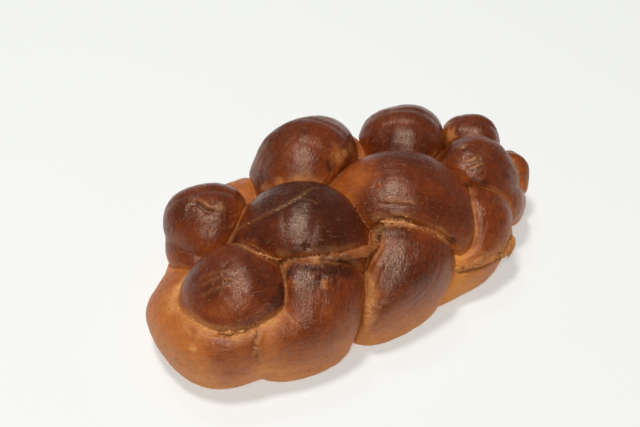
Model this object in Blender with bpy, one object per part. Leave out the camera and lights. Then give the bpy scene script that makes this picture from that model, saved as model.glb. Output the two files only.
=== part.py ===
"""Braided loaf: a four-strand flat plait of egg-washed dough, baked into one piece.

Two long ropes are folded at the near end, which gives four strands.  They are then plaited to the far
end: in turn one strand crosses over the middle, and the two outer pairs cross at the sides.  Every
crossing leaves one plump lobe on top.  The strands rise and fuse in the oven, so the loaf is one solid.

X runs from the folded end to the tucked end, Y to the left side, Z up.  Sizes below are in
millimetres, and MM turns them into metres.
"""

import math
from collections import namedtuple

import bmesh
import bpy
import numpy as np

MM = 0.001

# ---- The strand -------------------------------------------------------------------------------
THICKNESS = 0.88            # a strand's height over its width, flattened by its own weight
FULLNESS = 2.3              # 2 gives an oval cross-section, more gives a fuller one
BEAD_LENGTH = 0.8           # how far one bead reaches along the strand, over its mean radius
BEAD_STEP = 4.0             # spacing of the beads that sweep a strand's shape
CURVE_STEPS = 16            # points read from the smooth route between two of its stations
UNDER_HEIGHT = 19.0         # centre of a strand where it passes under another
UNDER_WIDTH = 27.0          # half width there
UNDER_SHRINK = 0.8          # and how much of that is left at the tucked end

# ---- The lobes: where each crossing shows on top ------------------------------------------------
# centre x and y, height of the top, heading in degrees, half length, half width, lean outwards
Lobe = namedtuple("Lobe", "x y top heading reach width lean")
LOBES = {
    "middle_1": Lobe(-103, -26, 85, -8, 20, 36, 0.0),
    "middle_2": Lobe(-39, -8, 95, -37, 31, 40, 0.0),
    "middle_3": Lobe(40, -16, 93, -38, 38, 38, 0.0),
    "middle_4": Lobe(109, -17, 79, -65, 16, 29, 0.0),
    "left_1": Lobe(-89, 46, 82, 60, 16, 32, 0.4),
    "left_2": Lobe(4, 59, 92, 35, 26, 38, 0.4),
    "left_3": Lobe(84, 42, 79, 45, 20, 34, 0.4),
    "left_4": Lobe(136, 21, 65, 40, 12, 24, 0.3),
    "right_1": Lobe(-53, -44, 75, 42, 31, 36, -0.4),
    "right_2": Lobe(20, -51, 72, 45, 33, 36, -0.4),
    "right_3": Lobe(87, -47, 66, 50, 20, 28, -0.4),
    "right_4": Lobe(147, -19, 52, 50, 8, 15, -0.3),
}
LOBE_RISE = 17.0            # how far a strand climbs from a lobe's start to its middle
LOBE_FALL = 21.0            # and how far it dives to the lobe's end
LOBE_SCALE = 80.0           # both are for a lobe this high, and go with the height
LOBE_END = 0.94             # width at a lobe's two ends, over the width in its middle

# ---- The turns: where a strand rounds an edge of the plait --------------------------------------
# centre x, y and z, half width, lean outwards, lean towards the tucked end
Turn = namedtuple("Turn", "x y z width lean_out lean_on")
TURNS = {
    "fold_right": Turn(-100, -51, 34, 31, -0.5, 0.0),
    "fold_tip": Turn(-140, -36, 30, 32, -0.2, -0.5),
    "fold_back": Turn(-145, -10, 27, 28, 0.3, -0.5),
    "fold_left": Turn(-116, 17, 25, 26, 0.6, 0.0),
    "left_a": Turn(-42, 61, 32, 26, 0.6, 0.0),
    "left_b": Turn(46, 58, 30, 27, 0.6, 0.0),
    "left_c": Turn(114, 46, 26, 23, 0.6, 0.0),
    "right_a": Turn(-20, -48, 22, 26, -0.6, 0.0),
    "right_b": Turn(56, -60, 22, 25, -0.5, 0.0),
    "right_c": Turn(104, -40, 20, 22, -0.5, 0.0),
    "hidden_left": Turn(-125, 12, 20, 24, 0.0, 0.0),
    "hidden_right": Turn(-126, -20, 20, 24, 0.0, 0.0),
    "tuck": Turn(149, 4, 15, 14, 0.0, 0.0),
}

# ---- The plait: each strand's way from the folded end to the tucked one -------------------------
STRANDS = [
    ["over middle_1", "under right_1", "turn right_a", "over right_2", "under middle_3",
     "over left_3", "turn left_c", "under left_4", "turn tuck"],
    ["under middle_1", "over left_1", "turn left_a", "under left_2", "over middle_3",
     "under right_3", "turn right_c", "over right_4", "turn tuck"],
    ["over right_1", "under middle_2", "over left_2", "turn left_b", "under left_3",
     "over middle_4", "under right_4", "turn tuck"],
    ["under left_1", "over middle_2", "under right_2", "turn right_b", "over right_3",
     "under middle_4", "over left_4", "turn tuck"],
]
# A rope is one strand, the fold at the near end, and the next strand.
INNER_FOLD = ["turn hidden_left", "turn hidden_right"]
OUTER_FOLD = ["turn fold_right", "turn fold_tip", "turn fold_back", "turn fold_left"]
ROPES = {
    "inner": (STRANDS[0], INNER_FOLD, STRANDS[1]),
    "outer": (STRANDS[2], OUTER_FOLD, STRANDS[3]),
}

# ---- The body that the strands fuse into --------------------------------------------------------
CORE = (125.0, 60.0, 68.0)          # half length, half width and height of the crumb between them
FOOT = (144.0, 74.0, 20.0)          # the same for the base, where the dough slumps together
FOOT_FULLNESS = 2.6                 # its outline's fullness, seen from above
SIDE = (173.0, 91.0)                # half length and half width that the risen dough keeps to
SIDE_FULLNESS = 3.4                 # fullness of that outline
SIDE_EASE = 0.14                    # share of the outline over which the dough is held in
BELT = 36.0                         # height at which the loaf is widest
BELT_FALL = 0.10                    # share by which the outline draws in ...
BELT_REACH = 60.0                   # ... this far above or below the belt

# ---- The mesh -----------------------------------------------------------------------------------
VOXEL = 2.0                 # grid that fuses the beads
SMOOTHING = 10              # passes that take the grid's steps out
TRIANGLES = 11400           # size of the finished solid
CRUST_COLOUR = (0.20, 0.065, 0.022, 1.0)
CRUST_ROUGHNESS = 0.42


def clear_scene():
    for item in list(bpy.data.objects):
        bpy.data.objects.remove(item, do_unlink=True)


def lobe_stations(lobe):
    """Start, middle and end of a lobe, each as x, y, z, half width, lean outwards, lean onwards."""
    angle = math.radians(lobe.heading)
    reach = np.array([math.cos(angle), math.sin(angle)]) * lobe.reach
    centre = lobe.top - lobe.width * THICKNESS
    scale = lobe.top / LOBE_SCALE
    end_width = lobe.width * LOBE_END
    return [
        (lobe.x - reach[0], lobe.y - reach[1], centre - LOBE_RISE * scale, end_width, lobe.lean, 0.0),
        (lobe.x, lobe.y, centre, lobe.width, lobe.lean, 0.0),
        (lobe.x + reach[0], lobe.y + reach[1], centre - LOBE_FALL * scale, end_width, lobe.lean, 0.0),
    ]


def stations(step):
    """The stations that one step of the plait adds to a strand's route."""
    kind, name = step.split()
    if kind == "over":
        return lobe_stations(LOBES[name])
    if kind == "under":
        lobe = LOBES[name]
        width = min(UNDER_WIDTH, lobe.width * UNDER_SHRINK)
        return [(lobe.x, lobe.y, min(UNDER_HEIGHT, width), width, 0.0, 0.0)]
    return [tuple(TURNS[name])]


def smooth_route(points):
    """A smooth curve through the stations, spaced by the root of their distance."""
    gaps = np.linalg.norm(np.diff(points[:, :3], axis=0), axis=1) ** 0.5
    times = np.concatenate([[0.0], np.cumsum(gaps)])
    slopes = np.gradient(points, times, axis=0)
    pieces = []
    for i, gap in enumerate(gaps):
        t = np.linspace(0.0, 1.0, CURVE_STEPS, endpoint=False)[:, None]
        pieces.append(
            (2 * t**3 - 3 * t**2 + 1) * points[i]
            + (t**3 - 2 * t**2 + t) * gap * slopes[i]
            + (3 * t**2 - 2 * t**3) * points[i + 1]
            + (t**3 - t**2) * gap * slopes[i + 1]
        )
    return np.vstack(pieces + [points[-1:]])


def even_steps(curve, step):
    """The same curve, read again at an even spacing."""
    lengths = np.linalg.norm(np.diff(curve[:, :3], axis=0), axis=1)
    run = np.concatenate([[0.0], np.cumsum(lengths)])
    marks = np.linspace(0.0, run[-1], int(run[-1] / step) + 1)
    columns = [np.interp(marks, run, curve[:, i]) for i in range(curve.shape[1])]
    return np.stack(columns, axis=1)


def route(steps):
    return [station for step in steps for station in stations(step)]


def rope_curve(out, fold, back):
    """The centre line of one rope: up one strand to the fold, and down the other."""
    points = np.array(route(out)[::-1] + route(fold) + route(back), dtype=float)
    return even_steps(smooth_route(points), BEAD_STEP)


def power_unit(directions, fullness):
    """Points on a rounded body of unit size: full in its first two axes, round along the third."""
    across = (np.abs(directions[:, 0]) ** fullness + np.abs(directions[:, 1]) ** fullness) ** (2 / fullness)
    return directions / np.sqrt(across + directions[:, 2] ** 2)[:, None]


def unit_ball(subdivisions):
    ball = bmesh.new()
    bmesh.ops.create_icosphere(ball, subdivisions=subdivisions, radius=1.0)
    points = np.array([v.co[:] for v in ball.verts])
    faces = np.array([[v.index for v in face.verts] for face in ball.faces])
    ball.free()
    return points, faces


def rope_beads(curve, ball):
    """One fused-looking string of beads: each is the strand's cross-section, rounded along it."""
    along = np.gradient(curve[:, :3], axis=0)
    along /= np.linalg.norm(along, axis=1)[:, None]
    up = np.stack([curve[:, 5], curve[:, 4], np.ones(len(curve))], axis=1)
    across = np.cross(along, up)
    across /= np.linalg.norm(across, axis=1)[:, None]
    normal = np.cross(across, along)
    width = curve[:, 3]
    height = width * THICKNESS
    length = (width + height) / 2 * BEAD_LENGTH
    shape = power_unit(ball, FULLNESS)
    return (
        curve[:, None, :3]
        + shape[None, :, 0, None] * (across * width[:, None])[:, None, :]
        + shape[None, :, 1, None] * (normal * height[:, None])[:, None, :]
        + shape[None, :, 2, None] * (along * length[:, None])[:, None, :]
    )


def body_points(ball, half_sizes, fullness):
    return power_unit(ball, fullness) * np.array(half_sizes)


def dough_mesh():
    """All beads, the crumb and the foot as one mesh of overlapping shells."""
    ball, faces = unit_ball(3)
    shells = [bead for rope in ROPES.values() for bead in rope_beads(rope_curve(*rope), ball)]
    ball_fine, faces_fine = unit_ball(4)
    bodies = [body_points(ball_fine, CORE, 2.0), body_points(ball_fine, FOOT, FOOT_FULLNESS)]
    points, corners, start = [], [], 0
    for shell, shell_faces in [(s, faces) for s in shells] + [(b, faces_fine) for b in bodies]:
        points.append(shell)
        corners.append(shell_faces + start)
        start += len(shell)
    mesh = bpy.data.meshes.new("dough")
    mesh.from_pydata((np.vstack(points) * MM).tolist(), [], np.vstack(corners).tolist())
    mesh.update()
    return mesh


def evaluated_mesh(item):
    graph = bpy.context.evaluated_depsgraph_get()
    mesh = bpy.data.meshes.new_from_object(item.evaluated_get(graph), depsgraph=graph)
    for modifier in list(item.modifiers):
        item.modifiers.remove(modifier)
    item.data = mesh
    return mesh


def fuse(item):
    """Joins the overlapping shells into one skin and takes the grid's steps out."""
    remesh = item.modifiers.new("fuse", "REMESH")
    remesh.mode = "VOXEL"
    remesh.voxel_size = VOXEL * MM
    smooth = item.modifiers.new("smooth", "SMOOTH")
    smooth.factor = 0.5
    smooth.iterations = SMOOTHING
    evaluated_mesh(item)


def hold_sides(mesh):
    """Eases what bulges past the loaf's outline back to it, as the dough is held in by its skin."""
    count = len(mesh.vertices)
    points = np.empty(count * 3)
    mesh.vertices.foreach_get("co", points)
    points = points.reshape(count, 3)
    x = np.abs(points[:, 0] / (SIDE[0] * MM)) ** SIDE_FULLNESS
    y = np.abs(points[:, 1] / (SIDE[1] * MM)) ** SIDE_FULLNESS
    belt = 1.0 - BELT_FALL * ((points[:, 2] / MM - BELT) / BELT_REACH) ** 2
    reach = np.maximum((x + y) ** (1 / SIDE_FULLNESS), 1e-6) / belt
    free = 1.0 - SIDE_EASE
    held = free + SIDE_EASE * (1.0 - np.exp(-(reach - free) / SIDE_EASE))
    points[:, :2] *= np.where(reach > free, held / reach, 1.0)[:, None]
    mesh.vertices.foreach_set("co", points.ravel())
    mesh.update()


def thin_out(item):
    decimate = item.modifiers.new("thin", "DECIMATE")
    triangles = sum(len(p.vertices) - 2 for p in item.data.polygons)
    decimate.ratio = TRIANGLES / triangles
    evaluated_mesh(item)


def cut_base(mesh):
    """Cuts the loaf level where it lay on the baking sheet, and closes it with one flat face."""
    body = bmesh.new()
    body.from_mesh(mesh)
    everything = body.verts[:] + body.edges[:] + body.faces[:]
    cut = bmesh.ops.bisect_plane(
        body, geom=everything, plane_co=(0, 0, 0), plane_no=(0, 0, 1), clear_inner=True, dist=1e-6
    )
    rim = [edge for edge in cut["geom_cut"] if isinstance(edge, bmesh.types.BMEdge)]
    bmesh.ops.contextual_create(body, geom=rim)
    bmesh.ops.triangulate(body, faces=body.faces[:])
    bmesh.ops.recalc_face_normals(body, faces=body.faces[:])
    body.to_mesh(mesh)
    body.free()


def centre(mesh):
    """Puts the middle of the loaf's length and width over the origin."""
    corners = np.array([v.co[:] for v in mesh.vertices])
    middle = (corners.min(axis=0) + corners.max(axis=0)) / 2
    for vertex in mesh.vertices:
        vertex.co.x -= middle[0]
        vertex.co.y -= middle[1]


def crust_material():
    crust = bpy.data.materials.new("crust")
    crust.use_nodes = True
    shader = crust.node_tree.nodes["Principled BSDF"]
    shader.inputs["Base Color"].default_value = CRUST_COLOUR
    shader.inputs["Roughness"].default_value = CRUST_ROUGHNESS
    shader.inputs["Metallic"].default_value = 0.0
    crust.diffuse_color = CRUST_COLOUR
    return crust


def make_loaf():
    loaf = bpy.data.objects.new("braided_loaf", dough_mesh())
    bpy.context.collection.objects.link(loaf)
    fuse(loaf)
    hold_sides(loaf.data)
    thin_out(loaf)
    cut_base(loaf.data)
    centre(loaf.data)
    loaf.data.name = "braided_loaf"
    loaf.data.materials.append(crust_material())
    loaf.data.shade_smooth()
    return loaf


def main():
    clear_scene()
    make_loaf()


main()
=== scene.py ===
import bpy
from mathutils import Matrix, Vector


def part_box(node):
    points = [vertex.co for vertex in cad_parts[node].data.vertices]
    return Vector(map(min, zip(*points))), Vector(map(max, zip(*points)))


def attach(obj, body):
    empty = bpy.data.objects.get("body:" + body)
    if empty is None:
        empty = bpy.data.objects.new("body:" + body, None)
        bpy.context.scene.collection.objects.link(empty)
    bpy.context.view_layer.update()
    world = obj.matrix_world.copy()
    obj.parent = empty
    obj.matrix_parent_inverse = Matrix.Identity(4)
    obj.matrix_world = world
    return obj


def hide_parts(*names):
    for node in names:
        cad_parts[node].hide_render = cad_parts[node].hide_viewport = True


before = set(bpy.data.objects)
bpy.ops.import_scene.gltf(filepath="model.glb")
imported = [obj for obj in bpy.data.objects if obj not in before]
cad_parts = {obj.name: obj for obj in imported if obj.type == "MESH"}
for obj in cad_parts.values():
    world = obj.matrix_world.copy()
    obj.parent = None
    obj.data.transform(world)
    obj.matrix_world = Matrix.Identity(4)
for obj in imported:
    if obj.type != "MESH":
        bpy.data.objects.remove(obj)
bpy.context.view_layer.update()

# Braided loaf: the baked, egg-washed look of the plaited dough.
#
# Two long ropes are folded at the near end, which gives four strands, and these are plaited to the far
# end.  The strands are swept again here from the part's own sizes, finely enough for the tight creases,
# torn skin and wrinkles that the oven leaves, and the crust is browned by how each place was exposed.
# Sizes are in millimetres until the mesh is made, and MM turns them into metres.

import copy
import itertools
import math
from collections import namedtuple

import bpy
import numpy as np
import openvdb
from mathutils import Vector, noise

MM = 0.001

# ---- The strand: the part's own sizes -----------------------------------------------------------
THICKNESS = 0.88            # a strand's height over its width, flattened by its own weight
FULLNESS = 2.3              # 2 gives an oval cross-section, more gives a fuller one
BEAD_LENGTH = 0.8           # how far one bead reaches along the strand, over its mean radius
BEAD_STEP = 3.0             # spacing of the beads that sweep a strand's shape
CURVE_STEPS = 16            # points read from the smooth route between two of its stations
UNDER_HEIGHT = 19.0         # centre of a strand where it passes under another
UNDER_WIDTH = 27.0          # half width there
UNDER_SHRINK = 0.8          # or this share of the upper lobe's, where that is less

# centre x and y, height of the top, heading in degrees, half length, half width, lean outwards
Lobe = namedtuple("Lobe", "x y top heading reach width lean")
LOBES = {
    "middle_1": Lobe(-103, -26, 85, -8, 20, 36, 0.0),
    "middle_2": Lobe(-39, -8, 95, -37, 31, 40, 0.0),
    "middle_3": Lobe(40, -16, 93, -38, 38, 38, 0.0),
    "middle_4": Lobe(109, -17, 79, -65, 16, 29, 0.0),
    "left_1": Lobe(-89, 46, 82, 60, 16, 32, 0.4),
    "left_2": Lobe(4, 59, 92, 35, 26, 38, 0.4),
    "left_3": Lobe(84, 42, 79, 45, 20, 34, 0.4),
    "left_4": Lobe(136, 21, 65, 40, 12, 24, 0.3),
    "right_1": Lobe(-53, -44, 75, 42, 31, 36, -0.4),
    "right_2": Lobe(20, -51, 72, 45, 33, 36, -0.4),
    "right_3": Lobe(87, -47, 66, 50, 20, 28, -0.4),
    "right_4": Lobe(147, -19, 52, 50, 8, 15, -0.3),
}
LOBE_RISE = 17.0            # how far a strand climbs from a lobe's start to its middle
LOBE_FALL = 21.0            # and how far it dives to the lobe's end
LOBE_SCALE = 80.0           # both are for a lobe this high, and go with the height
LOBE_END = 0.94             # width at a lobe's two ends, over the width in its middle

# centre x, y and z, half width, lean outwards, lean towards the tucked end
Turn = namedtuple("Turn", "x y z width lean_out lean_on")
TURNS = {
    "fold_right": Turn(-100, -51, 34, 31, -0.5, 0.0),
    "fold_tip": Turn(-140, -36, 30, 32, -0.2, -0.5),
    "fold_back": Turn(-145, -10, 27, 28, 0.3, -0.5),
    "fold_left": Turn(-116, 17, 25, 26, 0.6, 0.0),
    "left_a": Turn(-42, 61, 32, 26, 0.6, 0.0),
    "left_b": Turn(46, 58, 30, 27, 0.6, 0.0),
    "left_c": Turn(114, 46, 26, 23, 0.6, 0.0),
    "right_a": Turn(-20, -48, 22, 26, -0.6, 0.0),
    "right_b": Turn(56, -60, 22, 25, -0.5, 0.0),
    "right_c": Turn(104, -40, 20, 22, -0.5, 0.0),
    "hidden_left": Turn(-125, 12, 20, 24, 0.0, 0.0),
    "hidden_right": Turn(-126, -20, 20, 24, 0.0, 0.0),
    "tuck": Turn(149, 4, 15, 14, 0.0, 0.0),
}

STRANDS = [
    ["over middle_1", "under right_1", "turn right_a", "over right_2", "under middle_3",
     "over left_3", "turn left_c", "under left_4", "turn tuck"],
    ["under middle_1", "over left_1", "turn left_a", "under left_2", "over middle_3",
     "under right_3", "turn right_c", "over right_4", "turn tuck"],
    ["over right_1", "under middle_2", "over left_2", "turn left_b", "under left_3",
     "over middle_4", "under right_4", "turn tuck"],
    ["under left_1", "over middle_2", "under right_2", "turn right_b", "over right_3",
     "under middle_4", "over left_4", "turn tuck"],
]
# A rope is one strand, the fold at the near end, and the next strand.
INNER_FOLD = ["turn hidden_left", "turn hidden_right"]
OUTER_FOLD = ["turn fold_right", "turn fold_tip", "turn fold_back", "turn fold_left"]
ROPES = [
    (STRANDS[0], INNER_FOLD, STRANDS[1]),
    (STRANDS[2], OUTER_FOLD, STRANDS[3]),
]

CORE = (125.0, 60.0, 68.0)  # half length, half width and height of the crumb between them
CORE_FULLNESS = 2.0         # its outline's fullness, seen from above
FOOT = (144.0, 74.0, 20.0)  # the same for the base, where the dough slumps together
FOOT_FULLNESS = 2.6
SIDE = (173.0, 91.0)        # half length and half width that the risen dough keeps to
SIDE_FULLNESS = 3.4         # fullness of that outline
SIDE_EASE = 0.14            # share of the outline over which the dough is held in
BELT = 36.0                 # height at which the loaf is widest
BELT_FALL = 0.10            # share by which the outline draws in ...
BELT_REACH = 60.0           # ... this far above or below the belt

# ---- The fine skin ------------------------------------------------------------------------------
VOXEL = 1.25                # grid that the skin is read from
GRID_MARGIN = (14.0, 22.0)  # how far it reaches past the outline, along and across
GRID_HEIGHT = (-8.0, 102.0)  # and from how low to how high
FAR = 30.0                  # a field's value away from its surface
BEAD_REACH = 1.3            # a bead's field is worked out to this many times its size ...
BEAD_MARGIN = 4.0           # ... and this much more
SKIN_TRIANGLES = 190000     # how many the finished skin has
CLEFT = 1.9                 # how deep the cleft runs where two strands meet
CLEFT_WIDTH = 1.3           # and how wide it is
FOLD_FREE = (-118.0, -98.0)  # up to this x a rope's two strands are one, and past this one they part
CORE_ROUNDING = 1.0         # how softly the core fills the gaps between strands
FOOT_ROUNDING = 10.0        # and how softly the foot does
EDGE_ROUNDING = 7.0         # rounding of the edge that lay on the baking sheet
SAME_STRAND = 75.0          # places on one rope closer than this belong to one lobe
SAME_STRETCH = 9.0          # places whose distance along the strand differs less run on smoothly
STRAND_ROUNDS = (8, 4)      # rounds of smoothing for the distance along a strand, and round it
ROPE_SHIFT = 500.0          # keeps the patterns on the two ropes apart
NO_NEIGHBOUR = 1000.0       # the distance given to what isn't a neighbour
CHUNK = 8000                # how many points are looked at together
TINY = 1e-9                 # keeps a division from failing
NOISE_SHIFT = (13.7, 7.3, 3.1)  # how far one seed's noise lies from the next
PARTS = list(LOBES) + ["fold", "base", "frill"]


def lobe_stations(lobe):
    """Start, middle and end of a lobe, each as x, y, z, half width, lean outwards, lean onwards."""
    angle = math.radians(lobe.heading)
    reach = np.array([math.cos(angle), math.sin(angle)]) * lobe.reach
    centre = lobe.top - lobe.width * THICKNESS
    scale = lobe.top / LOBE_SCALE
    end_width = lobe.width * LOBE_END
    return [
        (lobe.x - reach[0], lobe.y - reach[1], centre - LOBE_RISE * scale, end_width, lobe.lean, 0.0),
        (lobe.x, lobe.y, centre, lobe.width, lobe.lean, 0.0),
        (lobe.x + reach[0], lobe.y + reach[1], centre - LOBE_FALL * scale, end_width, lobe.lean, 0.0),
    ]


def stations(step):
    """The stations that one step of the plait adds to a strand's route."""
    kind, name = step.split()
    if kind == "over":
        return lobe_stations(LOBES[name])
    if kind == "under":
        lobe = LOBES[name]
        width = min(UNDER_WIDTH, lobe.width * UNDER_SHRINK)
        return [(lobe.x, lobe.y, min(UNDER_HEIGHT, width), width, 0.0, 0.0)]
    return [tuple(TURNS[name])]


def smooth_route(points):
    """A smooth curve through the stations, spaced by the root of their distance."""
    gaps = np.linalg.norm(np.diff(points[:, :3], axis=0), axis=1) ** 0.5
    times = np.concatenate([[0.0], np.cumsum(gaps)])
    slopes = np.gradient(points, times, axis=0)
    pieces = []
    for i, gap in enumerate(gaps):
        t = np.linspace(0.0, 1.0, CURVE_STEPS, endpoint=False)[:, None]
        pieces.append(
            (2 * t**3 - 3 * t**2 + 1) * points[i]
            + (t**3 - 2 * t**2 + t) * gap * slopes[i]
            + (3 * t**2 - 2 * t**3) * points[i + 1]
            + (t**3 - t**2) * gap * slopes[i + 1]
        )
    return np.vstack(pieces + [points[-1:]])


def even_steps(curve, step):
    """The same curve, read again at an even spacing."""
    lengths = np.linalg.norm(np.diff(curve[:, :3], axis=0), axis=1)
    run = np.concatenate([[0.0], np.cumsum(lengths)])
    marks = np.linspace(0.0, run[-1], int(run[-1] / step) + 1)
    columns = [np.interp(marks, run, curve[:, i]) for i in range(curve.shape[1])]
    return np.stack(columns, axis=1)


def rope_curve(out, fold, back):
    """The centre line of one rope: up one strand to the fold, and down the other."""
    legs = [stations(step)[::-1] for step in out[::-1]] + [stations(step) for step in fold + back]
    points = np.array([place + (i,) for i, leg in enumerate(legs) for place in leg], dtype=float)
    return even_steps(smooth_route(points), BEAD_STEP)


def part_of(step):
    """The name of the part of the loaf that a step of the plait makes."""
    kind, name = step.split()
    if kind == "over":
        return name
    return "fold" if name.startswith("fold") else "base"


class Beads:
    """A string of beads that sweeps a strand: each has a centre, three axes and three half sizes."""

    def __init__(self, curve, rope, parts, thickness=THICKNESS):
        along = np.gradient(curve[:, :3], axis=0)
        along /= np.linalg.norm(along, axis=1)[:, None]
        up = np.stack([curve[:, 5], curve[:, 4], np.ones(len(curve))], axis=1)
        across = np.cross(along, up)
        across /= np.linalg.norm(across, axis=1)[:, None]
        self.centre = curve[:, :3]
        self.axes = np.stack([across, np.cross(across, along), along], axis=1)
        width = curve[:, 3]
        height = width * thickness
        self.sizes = np.stack([width, height, (width + height) / 2 * BEAD_LENGTH], axis=1)
        steps = np.linalg.norm(np.diff(self.centre, axis=0), axis=1)
        self.run = np.concatenate([[0.0], np.cumsum(steps)])
        self.rope = rope
        self.part = parts

    def cut(self, chosen):
        """The same string with only the chosen beads."""
        piece = copy.copy(self)
        for key in ("centre", "axes", "sizes", "run", "part"):
            setattr(piece, key, getattr(self, key)[chosen])
        return piece


def rope_beads(rope, number):
    """One rope's beads, and the number of the step in the middle of its fold."""
    out, fold, back = rope
    curve = rope_curve(out, fold, back)
    names = [part_of(step) for step in out[::-1] + fold + back]
    step = np.clip(np.round(curve[:, 6]).astype(int), 0, len(names) - 1)
    parts = np.array([PARTS.index(names[i]) for i in step])
    return Beads(curve, number, parts), curve[:, 6] < len(out) + (len(fold) - 1) / 2


def frill_beads(frill, number):
    """A thin rim of skin that stands out along a torn edge."""
    points = np.array([(x, y, z, width, frill.lean, 0.0) for x, y, z, width in frill.path], dtype=float)
    curve = even_steps(smooth_route(points), FRILL_STEP)
    curve[:, 3] *= 1.0 + frill.waves * noise_at(curve[:, :3], FRILL_WIDTH_WAVE, number)
    curve[:, 2] += frill.waves * noise_at(curve[:, :3], FRILL_LIFT_WAVE, number + FRILL_LIFT_SEED)
    return Beads(curve, number, np.full(len(curve), PARTS.index("frill")), frill.thickness)


def grid_axes():
    """The lowest corner of the grid, and its places along x, y and z."""
    half = np.add(SIDE, GRID_MARGIN)
    low = np.array([-half[0], -half[1], GRID_HEIGHT[0]])
    high = np.array([half[0], half[1], GRID_HEIGHT[1]])
    counts = np.ceil((high - low) / VOXEL).astype(int) + 1
    return low, [low[i] + VOXEL * np.arange(counts[i]) for i in range(3)]


def sweep(beads, low, axes):
    """Distance field of one string of beads, near its surface."""
    field = np.full([len(a) for a in axes], FAR, np.float32)
    limits = np.array(field.shape)
    axes = [a.astype(np.float32) for a in axes]
    for centre, frame_axes, sizes in zip(beads.centre, beads.axes, beads.sizes):
        reach = sizes.max() * BEAD_REACH + BEAD_MARGIN
        first = np.clip(((centre - reach - low) / VOXEL).astype(int), 0, limits - 1)
        last = np.clip(((centre + reach - low) / VOXEL).astype(int) + 2, 1, limits)
        x, y, z = [axes[i][first[i]:last[i]] - np.float32(centre[i]) for i in range(3)]
        parts = [
            (x[:, None, None] * a[0] + y[None, :, None] * a[1] + z[None, None, :] * a[2]) / size
            for a, size in zip(frame_axes.astype(np.float32), sizes.astype(np.float32))
        ]
        round_part = (np.abs(parts[0]) ** FULLNESS + np.abs(parts[1]) ** FULLNESS) ** (2 / FULLNESS)
        reached = np.sqrt(round_part + parts[2] ** 2)
        block = field[first[0]:last[0], first[1]:last[1], first[2]:last[2]]
        np.minimum(block, ((reached - 1.0) * sizes.min()).astype(np.float32), out=block)
    return field


def body_field(half_sizes, fullness, axes):
    """Distance field of a round body that stands in the middle of the loaf."""
    x, y, z = [np.abs(a) / half for a, half in zip(axes, half_sizes)]
    flat = (x[:, None] ** fullness + y[None, :] ** fullness) ** (2 / fullness)
    return ((np.sqrt(flat[:, :, None] + z[None, None, :] ** 2) - 1.0) * half_sizes[2]).astype(np.float32)


def fuse(a, b, rounding):
    """Union of two distance fields with a small fillet where they meet."""
    near = np.maximum(rounding - np.abs(a - b), 0.0) / rounding
    return np.minimum(a, b) - near * near * rounding / 4


def meet(a, b, depth, width):
    """Union of two distance fields with a cleft where they meet."""
    return np.minimum(a, b) + depth * np.exp(-(((a - b) / width) ** 2))


def dough_field(strings, halves, frills, low, axes):
    """Distance field of the whole loaf."""
    field = None
    apart = smoothstep(*FOLD_FREE, axes[0])[:, None, None].astype(np.float32)
    for beads, half in zip(strings, halves):
        out, back = [sweep(beads.cut(leg), low, axes) for leg in (half, ~half)]
        rope = meet(out, back, CLEFT * apart, CLEFT_WIDTH)
        field = rope if field is None else meet(field, rope, CLEFT, CLEFT_WIDTH)
    field = fuse(field, body_field(CORE, CORE_FULLNESS, axes), CORE_ROUNDING)
    for frill in frills:
        field = meet(field, sweep(frill, low, axes), FRILL_CLEFT, FRILL_CLEFT_WIDTH)
    field = fuse(field, body_field(FOOT, FOOT_FULLNESS, axes), FOOT_ROUNDING)
    floor = np.broadcast_to(-axes[2][None, None, :].astype(np.float32), field.shape)
    return -fuse(-field, -floor, EDGE_ROUNDING)


def outer_shell(points, quads):
    """Keeps the outermost shell: the largest set of faces that hang together."""
    label = np.arange(len(points))
    while True:
        lowest = label[quads].min(axis=1)
        fresh = label.copy()
        for i in range(4):
            np.minimum.at(fresh, quads[:, i], lowest)
        fresh = fresh[fresh]
        if np.array_equal(fresh, label):
            break
        label = fresh
    names, sizes = np.unique(label[quads[:, 0]], return_counts=True)
    keep = label == names[sizes.argmax()]
    place = np.cumsum(keep) - 1
    return points[keep], place[quads[keep[quads[:, 0]]]]


def new_object(name, data):
    item = bpy.data.objects.new(name, data)
    bpy.context.scene.collection.objects.link(item)
    return item


def finished_mesh(item):
    """The mesh that the object's modifiers make of it.  The object is removed."""
    graph = bpy.context.evaluated_depsgraph_get()
    mesh = bpy.data.meshes.new_from_object(item.evaluated_get(graph), depsgraph=graph)
    bpy.data.objects.remove(item, do_unlink=True)
    return mesh


def thinned(points, quads):
    """The same skin with fewer faces where it is smooth."""
    mesh = bpy.data.meshes.new("skin")
    mesh.from_pydata(points.tolist(), [], quads.tolist())
    item = new_object("skin", mesh)
    thin = item.modifiers.new("thin", "DECIMATE")
    thin.ratio = min(1.0, SKIN_TRIANGLES / (2 * len(quads)))
    result = finished_mesh(item)
    bpy.data.meshes.remove(mesh)
    result.calc_loop_triangles()
    places = np.empty(len(result.vertices) * 3, np.float32)
    result.vertices.foreach_get("co", places)
    corners = np.empty(len(result.loop_triangles) * 3, np.int32)
    result.loop_triangles.foreach_get("vertices", corners)
    bpy.data.meshes.remove(result)
    return places.reshape(-1, 3).astype(float), corners.reshape(-1, 3)


def hold_sides(points):
    """Eases what bulges past the loaf's outline back to it, as the dough is held in by its skin."""
    x = np.abs(points[:, 0] / SIDE[0]) ** SIDE_FULLNESS
    y = np.abs(points[:, 1] / SIDE[1]) ** SIDE_FULLNESS
    belt = 1.0 - BELT_FALL * ((points[:, 2] - BELT) / BELT_REACH) ** 2
    reach = np.maximum((x + y) ** (1 / SIDE_FULLNESS), TINY) / belt
    free = 1.0 - SIDE_EASE
    held = free + SIDE_EASE * (1.0 - np.exp(-(reach - free) / SIDE_EASE))
    points = points.copy()
    points[:, :2] *= np.where(reach > free, held / reach, 1.0)[:, None]
    return points


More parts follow.
